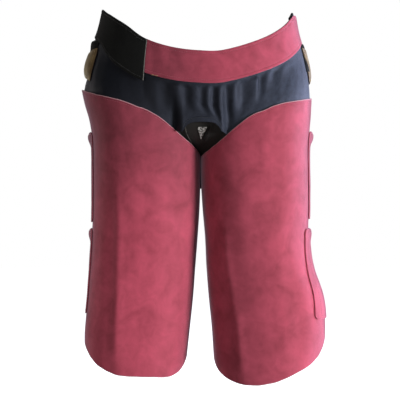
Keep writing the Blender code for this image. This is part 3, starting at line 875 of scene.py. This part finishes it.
def gather(angle, down):
    bent = angle - GATHER_BEND * ease(down, 0.5, 1.0)
    reach = GATHERS.at(bent, "reach")
    rise = GATHERS.at(bent, "rise") * ease(down, 0.0, 0.12) * (1 - ease(down, reach - 0.45, reach))
    spot = Vector((angle / 6.0, 1.3 * down, 9.0))
    wave = CLOTH_WAVE * noise.noise(spot)
    return rise + wave * ease(down, 0.0, 0.2) * (1 - ease(down, 0.75, 0.95))


def pocket_dent(angle, down):
    """The yoke is pressed in behind the pockets."""
    beside = ease(abs(angle), POCKET_DENT_FROM, POCKET_DENT_TO)
    within = ease(down, 0.0, 0.2) * (1 - ease(down, 0.55, 0.95))
    return -POCKET_DENT["left" if angle > 0 else "right"] * beside * within


def yoke_point(angle, down, out):
    """A point of the yoke. Down is -1 at the tucked upper edge, 0 below the band and 1 at the foot."""
    side = "left" if angle > 0 else "right"
    turn = YOKE_SEAM.at(abs(angle), side)
    layer = out - CLOTH_THICKNESS - HIDE_GAP - LAP_SLACK
    tuck = mix(-HEM_CLEAR, PANEL_TUCK, near_hem(angle, 2 * HEM_TURN, HEM_TURN))
    edge = LEG_TOP - LEG_LENGTH * PANEL_EDGES.at(turn, side + "_top") - tuck
    top = belt_top(angle) - BAND_HEIGHT - YOKE_SHOW
    if down < 0:
        return hip_round(angle, top - (YOKE_TUCK + YOKE_SHOW) * down, out)
    third = (top - edge) / 3
    free = 1 - near_hem(angle, HEM_TURN, 0.0)
    rise = gather(angle, down) + pocket_dent(angle, down)
    corners = (
        hip_round(angle, top, out + rise),
        hip_round(angle, top - third, out + rise),
        leg_round(side, turn, edge + third, layer + rise).lerp(hem_point(angle, third, out + rise), free),
        leg_round(side, turn, edge, layer + rise).lerp(hem_point(angle, 0.0, out + rise), free),
    )
    up = 1 - down
    weights = (up**3, 3 * down * up**2, 3 * down**2 * up, down**3)
    return sum((corner * weight for corner, weight in zip(corners, weights)), Vector())


def yoke_cloth(angle, down, out):
    """The yoke with its turned hem between the legs, a little fold beside it and the seams at the hips."""
    free = 1 - near_hem(angle, HEM_TURN, 0.0)
    if out > CLOTH_THICKNESS / 2:
        free *= exp(-((angle - HEM_MIDDLE) / HEM_SPREAD) ** 2)
        out += HEM_ROLL * free * ease(down, HEM_ROLL_FROM, HEM_ROLL_TO)
        out -= HEM_PRESS * free * exp(-((down - HEM_PRESS_AT) / HEM_PRESS_SPREAD) ** 2)
        hip = ease(abs(angle), HIP_SEAM_FROM, HIP_SEAM_TO)
        seam = ease(down, HIP_SEAM - 0.02, HIP_SEAM) - ease(down, HIP_SEAM + 0.05, 1.0)
        out += HIP_SEAM_RISE * hip * seam
    out += HEM_FOLD_RISE * exp(-((angle - HEM_FOLD) ** 2)) * ease(down, 0.80, 0.90)
    return yoke_point(angle, down, out)


# Cotton and nylon cloth in a plain weave, dyed black: nearly matt, with painted light and shade, darkest
# at the wearer's right and a lit blue-grey towards the wearer's left hip
cloth, tree, shader = new_finish("black cotton and nylon cloth", {
    "Roughness": 0.60,
    "IOR": 1.5,
    "Specular IOR Level": 0.40,
    "Specular Tint": "#c4cce4",
    "Sheen Weight": 0.06,
    "Sheen Roughness": 0.35,
    "Sheen Tint": "#a8b4dc",
})
PAINTED_LIGHT_CLOTH_FROM = -0.05
PAINTED_LIGHT_CLOTH_TO = 0.16
SLUB = 0.012
YARN = 0.0009  # real yarns are 0.35 mm apart, drawn coarser so that they show
flat = add_node(tree, "UVMap", {}, uv_map="flat").outputs[0]
warp = add_node(tree, "TexWave", {"Vector": flat, "Scale": WAVE_LENGTH / YARN, "Distortion": 0.4})
weft = add_node(tree, "TexWave", {"Vector": flat, "Scale": WAVE_LENGTH / YARN, "Distortion": 0.4},
                bands_direction="Y")
weave = add_node(tree, "Math", {0: warp.outputs[0], 1: weft.outputs[0]}, operation="MULTIPLY")
slub = add_node(tree, "TexNoise", {"Vector": flat, "Scale": 1 / SLUB, "Detail": 4.0, "Roughness": 0.6})
tone = add_node(tree, "Math", {0: weave.outputs[0], 1: 0.35, 2: slub.outputs[0]},
                operation="MULTIPLY_ADD")
tone = add_node(tree, "MapRange", {"Value": tone.outputs[0], "From Min": 0.35, "From Max": 0.85})
# Painted light and shade: a shaded tone at the wearer's right, a lit blue-grey one towards the left hip
painted_light_across = add_node(tree, "SeparateXYZ", {0: add_node(tree, "TexCoord", {}).outputs["Object"]})
painted_light_across = add_node(tree, "MapRange", {"Value": painted_light_across.outputs[0], "From Min": PAINTED_LIGHT_CLOTH_FROM,
                                    "From Max": PAINTED_LIGHT_CLOTH_TO})
painted_shaded_tone = add_node(tree, "Mix", {0: tone.outputs[0], 6: "#050607", 7: "#0b0d11"}, data_type="RGBA")
painted_lighter = add_node(tree, "Mix", {0: tone.outputs[0], 6: "#262a33", 7: "#393f4c"}, data_type="RGBA")
shade = add_node(tree, "Mix", {0: painted_light_across.outputs[0], 6: painted_shaded_tone.outputs[2], 7: painted_lighter.outputs[2]},
                 data_type="RGBA")
relief = add_node(tree, "Bump", {"Height": weave.outputs[0], "Strength": 0.35, "Distance": 0.0003})
plug(shader, {"Base Color": shade.outputs[2], "Normal": relief.outputs[0]})

angles = edged(-YOKE_END, PLEATS_FROM - 1.0, 46, 0.4)[:-2] + [PLEATS_FROM + 0.5 * k for k in range(158)]
angles += edged(PLEATS_TO, YOKE_END, 32, 0.4)[2:]
falls = [-1.0, -0.97, -0.9, -0.5, -0.15] + edged(0.0, 1.0, 56, 0.006)[2:]
yoke = lay_sheet("gathered_yoke", angles, falls, CLOTH_THICKNESS, yoke_cloth, [cloth] * 3)
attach(yoke, "root")
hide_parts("yoke")
trail = trail_on(yoke_cloth, [(mix(HEM_RIGHT, HEM_LEFT, k / 40), HEM_STITCHES) for k in range(41)],
                 CLOTH_THICKNESS)
row = sew("hem_stitching", trail, black_thread, thread=0.0006)


# Gusset. A short piece of dark satin-faced lining closes the fork behind the hem and runs down
# inside both panels. A slanting seam crosses it, and a small grey triangle of coarse canvas is
# sewn over its middle.
GUSSET_TOP = -0.184
GUSSET_BOTTOM = -0.2565
GUSSET_TUCK = 7.0
GUSSET_SLACK = 0.005
SLANT_WIDTH = 0.003
SLANT_FOLD = 0.0022
SLANT_PRESS = 0.0012
# Painted shade: a narrow dark strip of lining fills the slit between the legs
DARK_STRIP_WIDTH = 0.010
DARK_STRIP_FOOT = -0.317
DARK_STRIP_STAND = 0.0035
PATCH_THICKNESS = 0.0012
PATCH_WIDTH = 0.019
PATCH_HEIGHT = 0.022
PATCH_LEVEL = -0.2005
PATCH_SIDE = 0.0047
PATCH_TIP = 0.0019
PATCH_TIP_SHARE = 0.08
SLANT_TOP = (0.0184, -0.1988)
SLANT_FOOT = (0.0063, -0.2249)
PIPING_TOP = (-0.0285, -0.2010)
PIPING_FOOT = (-0.0165, -0.2290)
PIPING_STAND = 0.0028
PIPING_END = 0.35


def edge_turn(side, level):
    """The turn at which a panel's top edge passes a level, on its inner half."""
    fall = (LEG_TOP - level) / LEG_LENGTH
    low, high = 90.0, PANEL_EDGES.rows[-1][0]
    for _ in range(30):
        middle = (low + high) / 2
        if PANEL_EDGES.at(middle, side + "_top") < fall:
            low = middle
        else:
            high = middle
    return low


def gusset_edge(side, level, past, out):
    layer = -2 * (CLOTH_THICKNESS + HIDE_GAP) - GUSSET_SLACK
    return leg_round(side, edge_turn(side, level) + past, level, layer + out)


def gusset_point(across, level, out):
    """Across runs from 0 to 1 between the legs, and past those ends behind the panels."""
    if across < 0:
        return gusset_edge("right", level, GUSSET_TUCK + 2 * GUSSET_TUCK * across, out)
    if across > 1:
        return gusset_edge("left", level, GUSSET_TUCK - 2 * GUSSET_TUCK * (across - 1), out)
    right = gusset_edge("right", level, GUSSET_TUCK, out)
    return right.lerp(gusset_edge("left", level, GUSSET_TUCK, out), across)


def gusset_at(x, level, out):
    """The point of the gusset straight behind a place in front of it."""
    right = gusset_point(0.0, level, CLOTH_THICKNESS)
    left = gusset_point(1.0, level, CLOTH_THICKNESS)
    at = right.lerp(left, (x - right.x) / (left.x - right.x))
    return Vector((at.x, at.y - out, level))


def gusset_cloth(across, down, out):
    level = mix(GUSSET_TOP, GUSSET_BOTTOM, down)
    point = gusset_point(across, level, out)
    slant = mix(SLANT_TOP[0], SLANT_FOOT[0], (level - SLANT_TOP[1]) / (SLANT_FOOT[1] - SLANT_TOP[1]))
    beside = (point.x - slant) / SLANT_WIDTH
    fold = SLANT_FOLD * exp(-((beside - 1.2) ** 2)) - SLANT_PRESS * exp(-(beside**2) * 4)
    fade = ease(level, GUSSET_BOTTOM + 0.010, SLANT_FOOT[1] + 0.010)
    if 0 <= across <= 1:
        point.y -= fold * fade * ease(across, 0.0, 0.15) * (1 - ease(across, 0.85, 1.0))
    return point


# Dark lining with a satin face: brownish black, with a narrow highlight along its folds
TWILL = 0.0008  # real twill lines are 0.3 mm apart, drawn coarser so that they show
lining, tree, shader = new_finish("dark satin lining", {
    "Roughness": 0.55,
    "IOR": 1.5,
    "Specular IOR Level": 0.2,
})
flat = add_node(tree, "UVMap", {}, uv_map="flat").outputs[0]
twill = add_node(tree, "TexWave", {"Vector": flat, "Scale": WAVE_LENGTH / TWILL, "Distortion": 0.5},
                 bands_direction="DIAGONAL")
shade = add_node(tree, "Mix", {0: twill.outputs[0], 6: "#1b1b1a", 7: "#302f2c"}, data_type="RGBA")
relief = add_node(tree, "Bump", {"Height": twill.outputs[0], "Strength": 0.3, "Distance": 0.0003})
plug(shader, {"Base Color": shade.outputs[2], "Normal": relief.outputs[0]})

columns = [-1.0, -0.99, -0.96] + [-0.9 + 0.1 * k for k in range(9)] + [k / 60 for k in range(61)]
columns += [1.1 + 0.1 * k for k in range(9)] + [1.96, 1.99, 2.0]
gusset = lay_sheet("lining_gusset", columns, edged(0.0, 1.0, 52, 0.012), CLOTH_THICKNESS, gusset_cloth,
                   [lining] * 3)
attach(gusset, "root")
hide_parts("crotch_gusset")


def dark_strip_point(across, down, out):
    """A narrow dark strip of lining from the gusset's foot between the panels' inner edges, as painted
    shade.
    """
    level = mix(GUSSET_BOTTOM + 0.001, DARK_STRIP_FOOT, down)
    middle = gusset_point(0.5, GUSSET_BOTTOM, CLOTH_THICKNESS)
    return Vector((middle.x + DARK_STRIP_WIDTH / 2 * across, middle.y + DARK_STRIP_STAND - out, level))


def piping(name, top, foot, bow, radius, finish):
    """A thin cord sewn over the gusset between two places, bowed to one side."""
    bm = bmesh.new()
    rings = []
    for i in range(25):
        t = i / 24
        x, level = mix(top[0], foot[0], t) + bow * sin(pi * t), mix(top[1], foot[1], t)
        middle = gusset_at(x, level, PIPING_STAND)
        size = radius * mix(PIPING_END, 1.0, min(1.0, 6 * min(t, 1 - t)))
        rings.append(ring_of(bm, middle, Vector((1.0, 0.0, 0.0)), Vector((0.0, 1.0, 0.0)), size, 10))
    skin(bm, rings)
    cord = make_piece(name, bm, [finish])
    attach(cord, "root")
    return cord


# Painted shade: the dark strip stands where there is only shade between the legs
dark_strip = lay_sheet("painted_shade_strip", edged(-1.0, 1.0, 8, 0.05), edged(0.0, 1.0, 24, 0.02), CLOTH_THICKNESS,
                 dark_strip_point, [lining] * 3)
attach(dark_strip, "root")
slant = piping("gusset_slant_seam", SLANT_TOP, SLANT_FOOT, bow=0.0, radius=0.0018, finish=loop_tape)
side_piping = piping("gusset_side_piping", PIPING_TOP, PIPING_FOOT, bow=-0.0020, radius=0.0008,
                     finish=tape_core)


def patch_point(across, down, out):
    """A triangle with its point down."""
    level = PATCH_LEVEL - PATCH_HEIGHT * down
    width = PATCH_WIDTH * mix(1.0, PATCH_TIP_SHARE, down)
    x = mix(PATCH_SIDE, PATCH_TIP, down) + width * (across - 0.5)
    return gusset_at(x, level, 1.5 * HIDE_GAP + out)


# Coarse grey canvas: thick light and dark yarns that read as specks
CANVAS_YARN = 0.0017
canvas, tree, shader = new_finish("coarse grey canvas", {
    "Roughness": 0.8,
    "IOR": 1.5,
    "Specular IOR Level": 0.3,
})
flat = add_node(tree, "UVMap", {}, uv_map="flat").outputs[0]
yarns = add_node(tree, "TexVoronoi", {"Vector": flat, "Scale": 1 / CANVAS_YARN, "Randomness": 1.0})
specks = add_node(tree, "MapRange", {"Value": yarns.outputs["Color"], "From Min": 0.30, "From Max": 0.75})
shade = add_node(tree, "Mix", {0: specks.outputs[0], 6: "#32322f", 7: "#bcbcb6"}, data_type="RGBA")
relief = add_node(tree, "Bump", {"Height": yarns.outputs["Distance"], "Strength": 0.6, "Distance": 0.0004})
plug(shader, {"Base Color": shade.outputs[2], "Normal": relief.outputs[0]})

patch = lay_sheet("canvas_patch", edged(0.0, 1.0, 16, 0.02), edged(0.0, 1.0, 18, 0.02), PATCH_THICKNESS,
                  patch_point, [canvas] * 3)
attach(patch, "root")
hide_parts("gusset_patch")


# Knife pockets. On each hip a slip of tan leather is stitched and riveted over the yoke, with its
# mouth open at the top for a hoof knife. A black facing behind the mouth keeps it from closing.
POCKET_THICKNESS = 0.002
POCKET_HOLLOW = {"right": 0.010, "left": 0.0055}
POCKET_SLANT = {"right": 0.0, "left": 7.0}
POCKET_MOUTH = 0.86
POCKET_STAND = 0.0006
POCKET_SCOOP = 0.10
MOUTH_SLOPE = {"right": 0.36, "left": 0.0}
FACING_TOP = -0.60
FACING_FOOT = 0.45
POCKET_SEAM = 0.10
FACING_THICKNESS = 0.0012
FACING_FULLNESS = 0.84
FACING_WIDTH = 0.9

# Mouth and foot of each pocket, as shares of the yoke's fall at the hip, and its front and back angles
POCKET_SPAN = {"right": (0.05, 0.68), "left": (0.04, 0.64)}
POCKET_SIDES = {"right": (67.0, 98.0), "left": (78.0, 104.0)}


def pocket_point(side, across, down, out):
    """Across runs from -1 at the front edge to 1 at the back, down from the mouth to the foot."""
    sign = 1 if side == "left" else -1
    front, back = POCKET_SIDES[side]
    angle = sign * mix(front + POCKET_SLANT[side] * down, back, (across + 1) / 2)
    belly = POCKET_HOLLOW[side] * (1 - abs(across) ** 4) * (1 - down**6)
    belly *= mix(POCKET_MOUTH, 1.0, min(1.0, 2 * down))
    base = CLOTH_THICKNESS + HIDE_GAP + POCKET_STAND
    return yoke_point(angle, mix(*POCKET_SPAN[side], down), base + belly + out)


# Vegetable-tanned leather: warm tan with a fine pebbled grain, darker and burnished at its edges
PEBBLE = 0.0013
STAIN = 0.018
tan_leather, tree, shader = new_finish("vegetable-tanned leather", {
    "Roughness": 0.55,
    "IOR": 1.5,
    "Specular IOR Level": 0.4,
    "Sheen Weight": 0.60,
    "Sheen Roughness": 0.40,
    "Sheen Tint": "#fff4c8",
})
spot = add_node(tree, "TexCoord", {}).outputs["Object"]
pebbles = add_node(tree, "TexVoronoi", {"Vector": spot, "Scale": 1 / PEBBLE, "Randomness": 0.9})
stain = add_node(tree, "TexNoise", {"Vector": spot, "Scale": 1 / STAIN, "Detail": 4.0, "Roughness": 0.6})
stained = add_node(tree, "MapRange", {"Value": stain.outputs[0], "From Min": 0.35, "From Max": 0.65})
shade = add_node(tree, "Mix", {0: stained.outputs[0], 6: "#584528", 7: "#7e6a44"}, data_type="RGBA")
relief = add_node(tree, "Bump", {"Height": pebbles.outputs["Distance"], "Strength": 0.4,
                                 "Distance": 0.0004})
plug(shader, {"Base Color": shade.outputs[2], "Normal": relief.outputs[0]})

# The pockets' cut edge, waxed and rubbed hard: dark brown with a low gloss
WAX_SPOT = 0.003
burnished, tree, shader = new_finish("burnished leather edge", {
    "Roughness": 0.4,
    "IOR": 1.5,
})
spot = add_node(tree, "TexCoord", {}).outputs["Object"]
wax = add_node(tree, "TexNoise", {"Vector": spot, "Scale": 1 / WAX_SPOT, "Detail": 2.0})
shade = add_node(tree, "Mix", {0: wax.outputs[0], 6: "#2e1e12", 7: "#4a3220"}, data_type="RGBA")
plug(shader, {"Base Color": shade.outputs[2]})

# Waxed linen thread, cream gone tan
linen_thread = spun_thread("waxed linen thread", 0.55, 0.0, "#8a6f48", "#c4ab7e")

# A tack of the same thread shows at the waistband's lower edge, beside the closure
trail = trail_on(band_point, [(-19.6, 1.015), (-18.8, 0.985), (-15.6, 0.975)], BAND_THICKNESS)
tack = sew("band_tack", trail, linen_thread, stitch=0.0065, gap=0.0004, thread=0.0011)

for side in ("right", "left"):
    def pocket_face(across, down, out):
        scoop = (POCKET_SCOOP * (1 - across**2) + MOUTH_SLOPE[side] * (1 + across) / 2) * (1 - down) ** 3
        return pocket_point(side, across, down + scoop, out)

    def facing_face(across, down, out):
        lift = POCKET_HOLLOW[side] * FACING_FULLNESS * (1 - abs(across) ** 4) * ease(down, 0.15, 0.65)
        sign = 1 if side == "left" else -1
        angle = sign * mix(*POCKET_SIDES[side], (FACING_WIDTH * across + 1) / 2)
        base = CLOTH_THICKNESS + HIDE_GAP
        return yoke_point(angle, mix(FACING_TOP, FACING_FOOT, down), base + lift + out)

    pocket = lay_sheet("tan_pocket_" + side, edged(-1.0, 1.0, 40, 0.04), edged(0.0, 1.0, 40, 0.013),
                       POCKET_THICKNESS, pocket_face, [tan_leather, flesh_side, burnished])
    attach(pocket, "root")
    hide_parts("knife_pocket_" + side)
    facing = lay_sheet("pocket_facing_" + side, edged(-1.0, 1.0, 30, 0.04), edged(0.0, 1.0, 20, 0.02),
                       FACING_THICKNESS, facing_face, [loop_tape] * 3)
    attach(facing, "root")
    loop = [(POCKET_SEAM - 1, 0.05 + 0.88 * k / 30) for k in range(31)]
    loop += [(mix(POCKET_SEAM - 1, 1 - POCKET_SEAM, k / 20), 0.95) for k in range(1, 20)]
    loop += [(1 - POCKET_SEAM, 0.93 - 0.88 * k / 30) for k in range(31)]
    row = sew("pocket_stitching_" + side, trail_on(pocket_face, loop, POCKET_THICKNESS), linen_thread)


# Rivets. A domed brass cap, nickelled, at the lower front corner of each pocket, set in a small
# dished washer of the same metal.
RIVET_RADIUS = 0.0022
RIVET_HEAD = 0.0012
RIVET_ACROSS = -0.62
RIVET_DOWN = 0.90
RIVET_STEP = 0.05

# Outline of washer and cap: height and radius, as shares of RIVET_HEAD and RIVET_RADIUS
RIVET_PROFILE = [
    (0.0, 1.00),
    (0.18, 1.00),
    (0.26, 0.92),
    (0.20, 0.80),
    (0.45, 0.74),
    (0.75, 0.58),
    (0.94, 0.34),
    (1.0, 0.10),
]

# Nickelled brass, tumbled: pale, slightly warm, with a soft gloss
TUMBLE_MARK = 0.0012  # real marks are 0.2 mm, drawn coarser so that they show
nickel, tree, shader = new_finish("nickelled brass", {
    "Metallic": 1.0,
})
spot = add_node(tree, "TexCoord", {}).outputs["Object"]
wear_and_painted_light = add_node(tree, "TexNoise", {"Vector": spot, "Scale": 1 / TUMBLE_MARK, "Detail": 3.0})
shade = add_node(tree, "Mix", {0: wear_and_painted_light.outputs[0], 6: "#a8a294", 7: "#e2ddcf"}, data_type="RGBA")
gloss = add_node(tree, "MapRange", {"Value": wear_and_painted_light.outputs[0], "To Min": 0.22, "To Max": 0.42})
plug(shader, {"Base Color": shade.outputs[2], "Roughness": gloss.outputs[0]})

for side in ("right", "left"):
    seat = pocket_point(side, RIVET_ACROSS, RIVET_DOWN, POCKET_THICKNESS)
    along = pocket_point(side, RIVET_ACROSS + RIVET_STEP, RIVET_DOWN, POCKET_THICKNESS) - seat
    down = pocket_point(side, RIVET_ACROSS, RIVET_DOWN + RIVET_STEP, POCKET_THICKNESS) - seat
    outward = along.cross(down).normalized()
    if outward.dot(Vector((seat.x, seat.y, 0.0))) < 0:
        outward.negate()
    first, second, _ = outward.to_track_quat("Z", "X").to_matrix().col
    bm = bmesh.new()
    rings = []
    for height, radius in RIVET_PROFILE:
        middle = seat + outward * (HIDE_GAP + RIVET_HEAD * height)
        rings.append(ring_of(bm, middle, first, second, RIVET_RADIUS * radius, 28))
    skin(bm, rings)
    cap = make_piece("rivet_cap_" + side, bm, [nickel], sharp=35)
    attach(cap, "root")
    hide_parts("pocket_rivet_" + side)


# Studio. A pale floor below the apron, a white surround that only the camera sees, large soft lights
# at the right of the picture and weak ones at the left and behind.
FLOOR_LEVEL = -0.98
CAMERA_DISTANCE = 2.4
CAMERA_LEVEL = -0.34
VIEW_WIDTH = 0.80
SENSOR = 36.0

# Matt white paint, lit from within so that the floor meets the surround without a line
floor_paint, tree, shader = new_finish("pale floor paint", {
    "Roughness": 0.9,
    "Specular IOR Level": 0.1,
    "Emission Strength": 0.95,
    "Emission Color": "#ffffff",
})
spot = add_node(tree, "TexCoord", {}).outputs["Object"]
cast = add_node(tree, "TexNoise", {"Vector": spot, "Scale": 0.8, "Detail": 1.0})
shade = add_node(tree, "Mix", {0: cast.outputs[0], 6: "#f4f4f4", 7: "#fbfbfb"}, data_type="RGBA")
plug(shader, {"Base Color": shade.outputs[2]})

# White paper lit from behind: even, with no shading of its own
white_surround, tree, shader = new_finish("white surround", {
    "Base Color": "#000000",
    "Roughness": 1.0,
    "Specular IOR Level": 0.0,
    "Emission Strength": 1.0,
    "Emission Color": "#ffffff",
})

bpy.ops.mesh.primitive_circle_add(vertices=96, radius=9.0, fill_type="NGON",
                                  location=(0.0, 0.0, FLOOR_LEVEL))
floor = bpy.context.object
floor.name = "pale_floor"
floor.data.materials.append(floor_paint)
bpy.ops.mesh.primitive_uv_sphere_add(segments=64, ring_count=32, radius=10.0)
surround = bpy.context.object
surround.name = "white_surround"
surround.data.materials.append(white_surround)
surround.visible_diffuse = False
surround.visible_glossy = False
surround.visible_shadow = False
floor.visible_diffuse = False
floor.visible_glossy = False

Lamp = namedtuple("Lamp", "name place aim size watts colour")
LAMPS = [
    Lamp("key", (4.8, -3.0, -0.70), (0.0, 0.0, -0.45), 2.0, 700.0, "#fbfaff"),
    Lamp("fill", (-1.8, -4.6, -0.9), (0.0, 0.0, -0.50), 2.4, 108.0, "#fff4ec"),
    Lamp("right side", (4.8, 1.8, -0.20), (0.0, 0.0, -0.40), 2.4, 480.0, "#dadfff"),
    Lamp("left side", (-2.2, 1.0, -0.20), (0.0, 0.0, -0.35), 1.0, 12.0, "#fff4ec"),
    Lamp("back", (-0.4, 2.6, 0.6), (0.0, 0.0, -0.3), 1.4, 12.0, "#ffffff"),
]
for lamp in LAMPS:
    light = bpy.data.lights.new(lamp.name, "AREA")
    light.size = lamp.size
    light.energy = lamp.watts
    light.color = linear(lamp.colour)[:3]
    hung = bpy.data.objects.new(lamp.name, light)
    hung.location = lamp.place
    hung.rotation_euler = (Vector(lamp.aim) - Vector(lamp.place)).to_track_quat("-Z", "Y").to_euler()
    bpy.context.collection.objects.link(hung)

world = bpy.data.worlds.new("soft room")
world.use_nodes = True
plug(world.node_tree.nodes["Background"], {"Color": "#e8ecf4", "Strength": 0.13})
bpy.context.scene.world = world
bpy.context.scene.view_settings.view_transform = "Standard"

camera = bpy.data.cameras.new("camera")
camera.sensor_width = SENSOR
camera.lens = SENSOR * CAMERA_DISTANCE / VIEW_WIDTH
stand = bpy.data.objects.new("camera", camera)
stand.location = (0.0, -CAMERA_DISTANCE, CAMERA_LEVEL)
stand.rotation_euler = (radians(90.0), 0.0, 0.0)
bpy.context.collection.objects.link(stand)
bpy.context.scene.camera = stand
